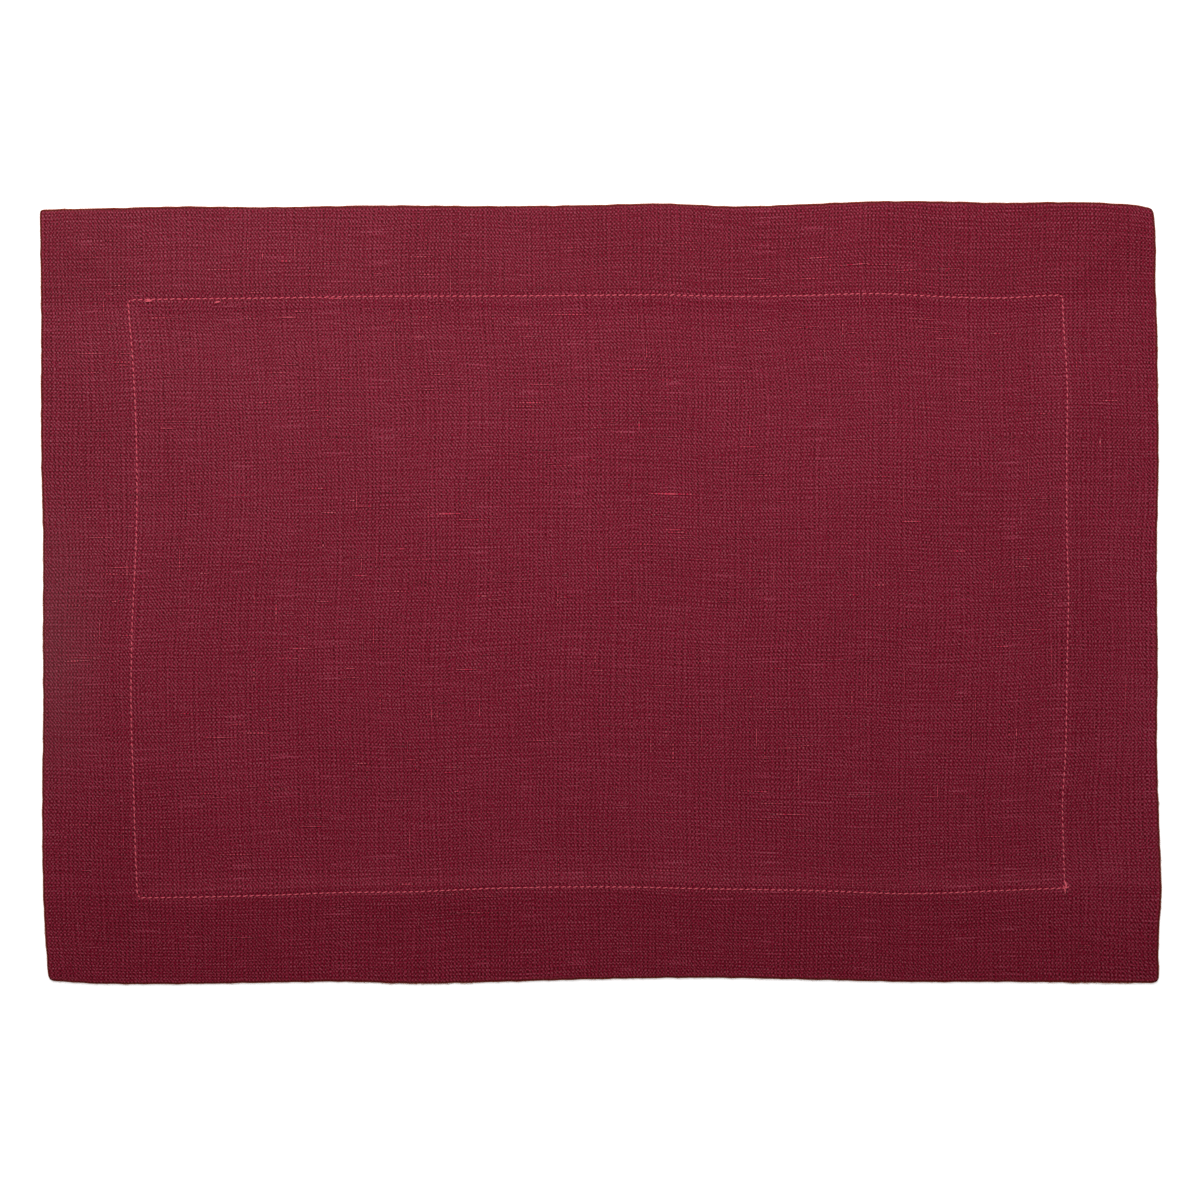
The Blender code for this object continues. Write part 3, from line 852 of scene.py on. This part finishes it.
def linen_material(name, deep, middle, pale, is_slub=False):
    """Piece-dyed linen in plain weave: yarns over and under each other.

    Flax yarns are uneven, so each has its own tone and its own thick places, and the floats of one
    set lean, which draws the eye along one diagonal. The gaps between the yarns are painted dark, a
    painted shade, and the tops of the yarns paler, a painted highlight; the tops are a little hairy too.

    The real weave has 17 yarns to the cm along X and 13.5 along Y, which is 1.1 and 1.4 dots of the
    picture. So fine a pattern would be smeared away: it is drawn coarser, by COARSE."""
    material, add = new_material(name)
    flat = add("UVMap", uv_map="flat_cloth")

    (u, drift_u, warp), (v, drift_v, weft) = yarns(add, flat)
    floats = interlacing(add, flat, warp, weft)

    # Each yarn has its own tone, which drifts along it, and each float its own.
    weft_tone = yarn_tones(add, drift_u, drift_v, 2 * WEFT_PITCH)
    warp_tone = yarn_tones(add, drift_v, drift_u, 3.2 * WARP_PITCH)
    warp_tone = add("Math", warp_tone, 1.15, operation="MULTIPLY")
    over = add("MapRange", floats, -1.0, 1.0)
    yarn_tone = add("Mix", {0: over, 2: warp_tone, 3: weft_tone})
    speck = patchy(add, flat, (0.62, 0.78))

    # Small thick places in the weft, which lie over the warp on both sides of them
    slub = patchy(add, flat, (YARN_LENGTH, 0.75), start=(40, 9))
    slub = add("MapRange", slub, 0.76, 0.88)

    # Dye taken up unevenly over the cloth
    mottle = patchy(add, flat, (45, 45), detail=3.0)
    mottle = add("MapRange", mottle, 0.25, 0.75, -0.5, 0.5, clamp=False)

    # Painted shade: the hem along the long sides is drawn darker than the panel, for the pale table
    # shows through the panel's single layer a little and through the hem's layers not at all.
    past_u, past_v = (
        add("Math", add("Math", place, operation="ABSOLUTE"), half, operation="SUBTRACT")
        for place, half in ((u, HALF_LENGTH), (v, HALF_WIDTH))
    )
    in_hem = add("MapRange", past_v, -HEM - HEM_SHADE_SOFT, -HEM)

    # What each adds to the tone, which is 0 in the gaps and 1 on the palest yarns
    tone = 0.25
    for part, share in (
        (floats, 0.38), (speck, 0.5), (yarn_tone, 0.19), (slub, 0.3), (mottle, 0.04), (in_hem, -0.055),
    ):
        tone = add("Math", part, share, tone, operation="MULTIPLY_ADD")

    # Paler, darker and greyer places, each an oval that fades outwards: partly painted light, and the
    # grey a painted sheen.
    sheened = 0.0
    for patch in PATCHES:
        at = add("Mapping", {
            "Vector": flat, "Scale": (1 / patch.wide, 1 / patch.high, 1.0),
            "Location": (-patch.x / patch.wide, -patch.y / patch.high, 0.0),
        })
        near = add("TexGradient", {"Vector": at}, out="Fac", gradient_type="SPHERICAL")
        near = add("MapRange", near, interpolation_type="SMOOTHSTEP")
        tone = add("Math", near, patch.paler, tone, operation="MULTIPLY_ADD")
        sheened = add("Math", near, patch.grey, sheened, operation="MULTIPLY_ADD")

    if is_slub:
        # A thick yarn is round: its crest is painted pale, a painted highlight, and its flanks are
        # painted dark, as painted shade going down into the gaps.
        around = add("UVMap", uv_map="round_yarn")
        strength = add("SeparateXYZ", around, out="X")
        turn = add("Math", add("SeparateXYZ", around, out="Y"), 2 * math.pi, operation="MULTIPLY")
        flank_shade = add("Math", turn, operation="SINE")
        flank_shade = add("MapRange", flank_shade, 0.78, 0.99, -0.8, -0.08)
        tone = add("Math", tone, flank_shade, operation="ADD")
        tone = add("Math", strength, 0.26, tone, operation="MULTIPLY_ADD")
    # The ramp paints shade into the gaps and a highlight onto the palest tops.
    colour = add("ValToRGB", tone, stops=((0.0, deep), (0.5, middle), (1.0, pale)))

    # Single fibres are duller or redder, and towards the far left the colour is drawn greyer, a
    # painted sheen.
    fibre = patchy(add, flat, (0.7, 0.6), start=(7, 3))
    fibre = add("MapRange", fibre, 0.25, 0.75, 0.92, 1.08, clamp=False)
    far_left_sheen = add("Math", v, u, operation="SUBTRACT")
    far_left_sheen = add("MapRange", far_left_sheen, 60.0, 430.0, 1.0, 0.972)
    fibre = add("Math", fibre, far_left_sheen, operation="MULTIPLY")
    colour = add("HueSaturation", {"Saturation": fibre, "Color": colour})

    sheen_over = tuple(bpy.context.scene.placemat_colours.sheened)
    colour = add("Mix", {0: sheened, 6: colour, 7: sheen_over}, out=2, data_type="RGBA")
    colour = pressed_edge(add, colour, add("Math", past_u, past_v, operation="MAXIMUM"))

    # Height of the weave, for the bump: the floats, and the small slubs over them
    height = add("Math", slub, 0.7, floats, operation="MULTIPLY_ADD")
    bump = add("Bump", {"Strength": 1.0, "Distance": WEAVE_RELIEF * MM, "Height": height})
    roughness = add("MapRange", tone, 0.0, 1.0, 0.56, 0.46)
    shader = add("BsdfPrincipled", {
        "Base Color": colour, "Roughness": roughness, "Normal": bump,
        "IOR": 1.5, "Specular IOR Level": 0.05,
    })
    add("OutputMaterial", shader)
    return material


def thread_material(name):
    """Mercerised sewing thread, three plies twisted: brighter than the linen, with a painted highlight
    on the plies and painted shade as dark lines between them, beside a soft sheen."""
    colours = bpy.context.scene.placemat_colours
    material, add = new_material(name)
    place = add("UVMap", uv_map="along_thread")
    run = add("SeparateXYZ", place, out="X")
    share = add("SeparateXYZ", place, out="Y")
    turns = add("Math", run, 1 / TWIST, operation="MULTIPLY")
    ply = add("Math", share, 3.0, turns, operation="MULTIPLY_ADD")
    ply = add("Math", ply, 2 * math.pi, operation="MULTIPLY")
    ply = add("Math", ply, operation="COSINE")
    tone = add("Math", ply, 0.25, 0.6, operation="MULTIPLY_ADD")
    colour = add("ValToRGB", tone, stops=(
        (0.0, colours.thread_deep), (0.6, colours.thread), (1.0, colours.thread_pale),
    ))
    bump = add("Bump", {"Strength": 0.6, "Distance": WEAVE_RELIEF * MM, "Height": ply})
    shader = add("BsdfPrincipled", {
        "Base Color": colour, "Roughness": 0.5, "Normal": bump,
        "IOR": 1.5, "Sheen Weight": 0.2, "Sheen Roughness": 0.4,
    })
    add("OutputMaterial", shader)
    return material


def fuzz_material(name):
    """Broken flax fibres: undyed inside, so paler and browner than the cloth, and matt."""
    colours = bpy.context.scene.placemat_colours
    material, add = new_material(name)
    run = add("SeparateXYZ", add("UVMap", uv_map="along_thread"), out="X")
    tip = add("MapRange", run, 0.0, 1.5)
    colour = add("ValToRGB", tip, stops=((0.0, colours.linen_pale), (1.0, colours.fuzz)))
    roughness = add("MapRange", tip, 0.0, 1.0, 0.6, 0.8)
    shader = add("BsdfPrincipled", {"Base Color": colour, "Roughness": roughness, "IOR": 1.5})
    add("OutputMaterial", shader)
    return material


# ---- what a user would change

def length_property(name, description, default, low, high):
    """A length that a user can change, given here in mm."""
    return bpy.props.FloatProperty(
        name=name, description=description, default=default * MM, min=low * MM, max=high * MM,
        unit="LENGTH", precision=5,
    )


def count_property(name, description, default, low, high):
    """A number of like things."""
    return bpy.props.IntProperty(
        name=name, description=description, default=default, min=low, max=high,
    )


def colour_property(name, description, hex_colour):
    """A colour that a user can pick, with its default as an sRGB hex value."""
    return bpy.props.FloatVectorProperty(
        name=name, description=description, subtype="COLOR", size=4, min=0.0, max=1.0,
        default=linear(hex_colour),
    )


class ClothSizes(bpy.types.PropertyGroup):
    """The linen."""

    thickness: length_property("Cloth thickness", "Thickness of one layer of the linen", 0.5, 0.2, 0.6)


class SewingSizes(bpy.types.PropertyGroup):
    """The thread and its stitches."""

    thread: length_property("Thread thickness", "Width of the thread as it lies", 0.62, 0.1, 0.8)
    slant: bpy.props.FloatProperty(
        name="Slant", description="How far each stitch leans from the line of the seam",
        default=math.radians(8), min=0.0, max=math.radians(30), subtype="ANGLE",
    )


class SlubSizes(bpy.types.PropertyGroup):
    """The slubs beside those in the tables."""

    weft: count_property("Small weft slubs", "How many are scattered along the long sides", 300, 0, 1000)
    warp: count_property("Small warp slubs", "How many are scattered across them", 110, 0, 1000)


class FuzzSizes(bpy.types.PropertyGroup):
    """Loose fibres at the folded edges."""

    fibres: count_property("Fibres", "How many stand out of the edges", 1500, 60, 6000)
    length: length_property("Fibre length", "Mean length of a fibre", 1.6, 0.2, 6.0)
    thickness: length_property("Fibre thickness", "Thickness of a fibre at its root", 0.09, 0.02, 0.2)


class PlacematColours(bpy.types.PropertyGroup):
    """Colours of the linen, its fuzz and its thread."""

    linen: colour_property("Linen", "Colour of the linen's yarns", "#6F0E23")
    # Painted shade: the colour between the yarns, where the weave's gaps lie in shade.
    linen_gap_shade: colour_property("Linen, deep", "Colour between the yarns", "#42040B")
    # Partly a painted highlight: the colour on the tops of the yarns, where the loose fibres also start.
    linen_pale: colour_property("Linen, pale", "Colour on the tops of the yarns", "#9A3D51")
    soft_slub: colour_property("Slub, soft", "Colour on the tops of thicker yarns", "#A03548")
    slub: colour_property("Slub", "Colour on the tops of the thickest yarns", "#C4485A")
    # Painted sheen: the grey that the greyer places are drawn with.
    sheened: colour_property("Rubbed", "Colour of rubbed places, at their middle", "#735456")
    # Painted shade: the dark brown that stands for the fold's shade just inside the folded edge.
    edge: colour_property("Edge", "Colour just inside the folded edge", "#470E06")
    worn_edge: colour_property("Worn edge", "Colour along the folded edge", "#A6583C")
    fuzz: colour_property("Fuzz", "Colour of loose fibres at the edges", "#C79A76")
    thread: colour_property("Thread", "Colour of the sewing thread", "#CE3B51")
    # Painted shade between the thread's plies.
    thread_deep: colour_property("Thread, deep", "Colour between the thread's plies", "#962033")
    # Painted highlight on the thread's plies.
    thread_pale: colour_property("Thread, pale", "Colour on the thread's plies", "#EA7687")


class StageSizes(bpy.types.PropertyGroup):
    """The light and the camera."""

    light_power: bpy.props.FloatProperty(
        name="Soft light", description="Power of the overhead soft light",
        default=9.2, min=0.0, unit="POWER",
    )
    sky: bpy.props.FloatProperty(
        name="Fill light", description="Strength of the even light from all round",
        default=0.16, min=0.0,
    )
    lens: bpy.props.FloatProperty(
        name="Lens", description="Focal length of the camera in mm", default=100.0, min=20.0,
    )


# ---- the operators

class PLACEMAT_OT_lay_cloth(bpy.types.Operator):
    """Lay the linen sheet, with its hem folded to the back and mitred"""

    bl_idname = "placemat.lay_cloth"
    bl_label = "Lay the cloth"

    def execute(self, context):
        vertices, faces, flat = cloth_arrays()
        colours = context.scene.placemat_colours
        linen = linen_material("burgundy_linen_plain_weave",
                               colours.linen_gap_shade, colours.linen, colours.linen_pale)
        # The flat cloth, scaled into the unit square, is also kept as the map named OFBake.
        baked = flat / (LENGTH + 4 * HEM) + 0.5
        maps = {"flat_cloth": flat, "OFBake": baked}
        cloth = make_piece("placemat_linen", vertices, faces, maps, linen)
        thick = cloth.modifiers.new("cloth_thickness", "SOLIDIFY")
        thick.thickness = context.scene.placemat_cloth.thickness
        thick.offset = 0.0
        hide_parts(CAD_CLOTH)
        return {"FINISHED"}


class PLACEMAT_OT_sew_hem(bpy.types.Operator):
    """Sew the hem down with one line of lockstitch, its top thread on the face and its bobbin
    thread at the back"""

    bl_idname = "placemat.sew_hem"
    bl_label = "Sew the hem"

    def execute(self, context):
        sewing = context.scene.placemat_sewing
        radius = sewing.thread / MM / 2
        rng = np.random.default_rng(SEED + 10)
        thread = thread_material("coral_sewing_thread")
        holes = needle_loop()
        start, step = holes[:-1, None], np.diff(holes, axis=0)[:, None]
        across = np.stack((-step[..., 1], step[..., 0]), axis=-1)
        w = np.linspace(0.0, 1.0, THREAD_POINTS)
        arch = np.sin(math.pi * w) ** ARCH_SHAPE
        w = w[:, None]
        for name, at_back in (("face_stitches", False), ("back_stitches", True)):
            uneven = 1 + rng.normal(0.0, LEAN_SPREAD, (len(start), 1, 1))
            lean = math.tan(sewing.slant) * uneven * (-1 if at_back else 1)
            share = 0.5 + (w - 0.5) * STITCH_DASH
            at = start + step * share + across * (w - 0.5) * lean
            u, v = at[..., 0], at[..., 1]
            half_high = radius * (BACK_FLAT if at_back else FACE_FLAT)
            ends, middle = BACK_ARCH if at_back else FACE_ARCH
            lift = ends + (middle - ends) * arch
            z = half_high + lift + 0 * u if at_back else face_top(u, v) + radius * lift
            make_threads(name, over_cloth(u, v, z), radius, half_high, THREAD_SIDES, thread)

        x, y, turn, length = (np.array(column)[:, None] for column in zip(*TACKS))
        turn = np.radians(turn)
        along = (w[:, 0] - 0.5) * length
        u, v = pattern_at(x + along * np.cos(turn), y + along * np.sin(turn))
        tops = np.linspace(*TACK_TOPS, len(TACKS))[:, None]
        z = face_top(u, v) + radius * (TACK_ENDS + (tops - TACK_ENDS) * arch)
        make_threads("thread_tacks", over_cloth(u, v, z), radius * TACK_WIDE, radius, THREAD_SIDES,
                     thread)
        return {"FINISHED"}


class PLACEMAT_OT_raise_slubs(bpy.types.Operator):
    """Raise the slubs: the thick places of the weft and of the warp, over the flat cloth"""

    bl_idname = "placemat.raise_slubs"
    bl_label = "Raise the slubs"

    def execute(self, context):
        slubs = context.scene.placemat_slubs
        colours = context.scene.placemat_colours
        material = linen_material("thick_flax_yarn",
                                  colours.linen_gap_shade, colours.soft_slub, colours.slub, is_slub=True)
        rng = np.random.default_rng(SEED + 20)
        for name, by_hand, count, turn in (
            ("weft_slubs", WEFT_SLUBS, slubs.weft, 0.0),
            ("warp_slubs", WARP_SLUBS, slubs.warp, math.pi / 2),
        ):
            # The yarns are thickest, and so the slubs closest together, towards the far left.
            across_u, across_v = HALF_LENGTH - SLUB_MARGIN, HALF_WIDTH - SLUB_MARGIN
            scattered = Slub(
                x=across_u - 2 * across_u * rng.uniform(0.0, 1.0, count) ** SLUB_CROWDING,
                y=2 * across_v * rng.uniform(0.0, 1.0, count) ** SLUB_CROWDING - across_v,
                length=SLUB_SHORTEST + rng.gamma(2.0, 3.6, count),
                climb=rng.normal(0.0, 0.15, count),
                strength=rng.uniform(0.2, 0.6, count),
            )
            both = [np.concatenate(column) for column in zip(zip(*by_hand), scattered)]
            vertices, faces, flat, places = slub_tubes(both, turn)
            maps = {"flat_cloth": flat, "round_yarn": places}
            make_piece(name, vertices, faces, maps, material)
        return {"FINISHED"}


class PLACEMAT_OT_fray_edges(bpy.types.Operator):
    """Fray the folded edges a little, with loose fibres that stand out of them"""

    bl_idname = "placemat.fray_edges"
    bl_label = "Fray the edges"

    def execute(self, context):
        fuzz = context.scene.placemat_fuzz
        rng = np.random.default_rng(SEED + 30)
        count = fuzz.fibres
        # Most stand anywhere round the edge; the last are on the frayed stretches of the near one.
        way = rng.uniform(0.0, 1.0, count) * 2 * (LENGTH + WIDTH)
        frayed = int(count * FRAYED_SHARE)
        for number, stretch in enumerate(FRAYED):
            here = slice(count - (number + 1) * frayed, count - number * frayed)
            way[here] = rng.uniform(*stretch, frayed) + HALF_LENGTH
        bounds = np.cumsum((0, LENGTH, WIDTH, LENGTH, WIDTH))
        side = np.clip(np.searchsorted(bounds, way) - 1, 0, 3)
        forward, outward, half, across, _ = (np.array(column)[side] for column in zip(*SIDES.values()))
        root = forward * (way - bounds[side] - half)[:, None] + outward * across[:, None]
        t = np.linspace(0.0, 1.0, FIBRE_POINTS)
        length = rng.gamma(3.0, fuzz.length / MM / 3, count)
        heading = np.sign(rng.normal(size=count))
        bow = rng.uniform(*FIBRE_BOW, count)[:, None]
        bow = bow * np.sin(math.pi * t * rng.uniform(0.5, 1, (count, 1)))
        run = (length * heading)[:, None] * t
        out = bow * np.minimum(length, FIBRE_BOWED)[:, None] - FIBRE_ROOT
        at = root[:, None] + forward[:, None] * run[..., None] + outward[:, None] * out[..., None]
        u = np.clip(at[..., 0], -HALF_LENGTH - FIBRE_REACH, HALF_LENGTH + FIBRE_REACH)
        v = np.clip(at[..., 1], -HALF_WIDTH - FIBRE_REACH, HALF_WIDTH + FIBRE_REACH)
        z = rng.uniform(*FIBRE_LEVELS, (count, 1)) + rng.normal(0.0, FIBRE_CLIMB, (count, 1)) * t
        at_root, at_tip = FIBRE_TAPER
        radius = fuzz.thickness / MM / 2 * rng.uniform(*FIBRE_UNEVEN, (count, 1))
        radius = radius * (at_root + (at_tip - at_root) * t)
        make_threads("edge_fuzz", over_cloth(u, v, np.maximum(z, TABLE_GAP)), radius, radius,
                     FIBRE_SIDES, fuzz_material("loose_flax_fibre"))
        return {"FINISHED"}


class PLACEMAT_OT_set_stage(bpy.types.Operator):
    """Set the pale floor, the soft light and the camera straight above"""

    bl_idname = "placemat.set_stage"
    bl_label = "Set the stage"

    def execute(self, context):
        scene = context.scene
        stage = scene.placemat_stage
        floor_mesh = bpy.data.meshes.new("pale_floor")
        corners = [(FLOOR_REACH * x, FLOOR_REACH * y, 0) for x, y in ((-1, -1), (1, -1), (1, 1), (-1, 1))]
        floor_mesh.from_pydata(corners, [], [(0, 1, 2, 3)])
        floor = bpy.data.objects.new("pale_floor", floor_mesh)
        material, add = new_material("white_board")
        shader = add("BsdfPrincipled", {
            "Base Color": linear("#F4F4F4"), "Roughness": 0.9,
            "Emission Color": linear("#FFFFFF"), "Emission Strength": FLOOR_GLOW,
        })
        add("OutputMaterial", shader)
        floor_mesh.materials.append(material)

        world = bpy.data.worlds.new("even_light")
        world.use_nodes = True
        background = world.node_tree.nodes["Background"]
        background.inputs["Color"].default_value = linear("#FFFFFF")
        background.inputs["Strength"].default_value = stage.sky
        scene.world = world

        softbox = bpy.data.lights.new("overhead_softbox", "AREA")
        softbox.shape = "RECTANGLE"
        softbox.size, softbox.size_y = SOFTBOX
        softbox.energy = stage.light_power
        light = bpy.data.objects.new("overhead_softbox", softbox)
        light.location = SOFTBOX_PLACE
        light.rotation_euler = (-SOFTBOX_TILT, 0.0, 0.0)

        camera_data = bpy.data.cameras.new("camera")
        camera_data.lens = stage.lens
        camera_data.sensor_width = SENSOR
        camera = bpy.data.objects.new("camera", camera_data)
        distance = SEEN_WIDTH * stage.lens / SENSOR
        camera.location = (*VIEW_CENTRE, CAD_HIGH.z + distance)
        for thing in (floor, light, camera):
            scene.collection.objects.link(thing)
        scene.camera = camera
        scene.view_settings.view_transform = "Standard"
        return {"FINISHED"}


class PLACEMAT_PT_sidebar(bpy.types.Panel):
    """The placemat's sizes, colours and pieces."""

    bl_idname = "PLACEMAT_PT_sidebar"
    bl_label = "Linen placemat"
    bl_space_type = "VIEW_3D"
    bl_region_type = "UI"
    bl_category = "Placemat"

    def draw(self, context):
        for group in GROUPS:
            box = self.layout.box()
            settings = getattr(context.scene, group)
            for name in settings.__annotations__:
                box.prop(settings, name)
        for operator in OPERATORS:
            self.layout.operator(operator.bl_idname)


GROUPS = {
    "placemat_cloth": ClothSizes,
    "placemat_sewing": SewingSizes,
    "placemat_slubs": SlubSizes,
    "placemat_fuzz": FuzzSizes,
    "placemat_colours": PlacematColours,
    "placemat_stage": StageSizes,
}
OPERATORS = (
    PLACEMAT_OT_lay_cloth,
    PLACEMAT_OT_sew_hem,
    PLACEMAT_OT_raise_slubs,
    PLACEMAT_OT_fray_edges,
    PLACEMAT_OT_set_stage,
)


def register():
    for kind in (*GROUPS.values(), *OPERATORS, PLACEMAT_PT_sidebar):
        bpy.utils.register_class(kind)
    for name, kind in GROUPS.items():
        setattr(bpy.types.Scene, name, bpy.props.PointerProperty(type=kind))


def unregister():
    for name in GROUPS:
        delattr(bpy.types.Scene, name)
    for kind in (PLACEMAT_PT_sidebar, *reversed(OPERATORS), *reversed(GROUPS.values())):
        bpy.utils.unregister_class(kind)


def main():
    register()
    bpy.ops.placemat.lay_cloth()
    bpy.ops.placemat.sew_hem()
    bpy.ops.placemat.raise_slubs()
    bpy.ops.placemat.fray_edges()
    bpy.ops.placemat.set_stage()


if __name__ == "__main__":
    main()
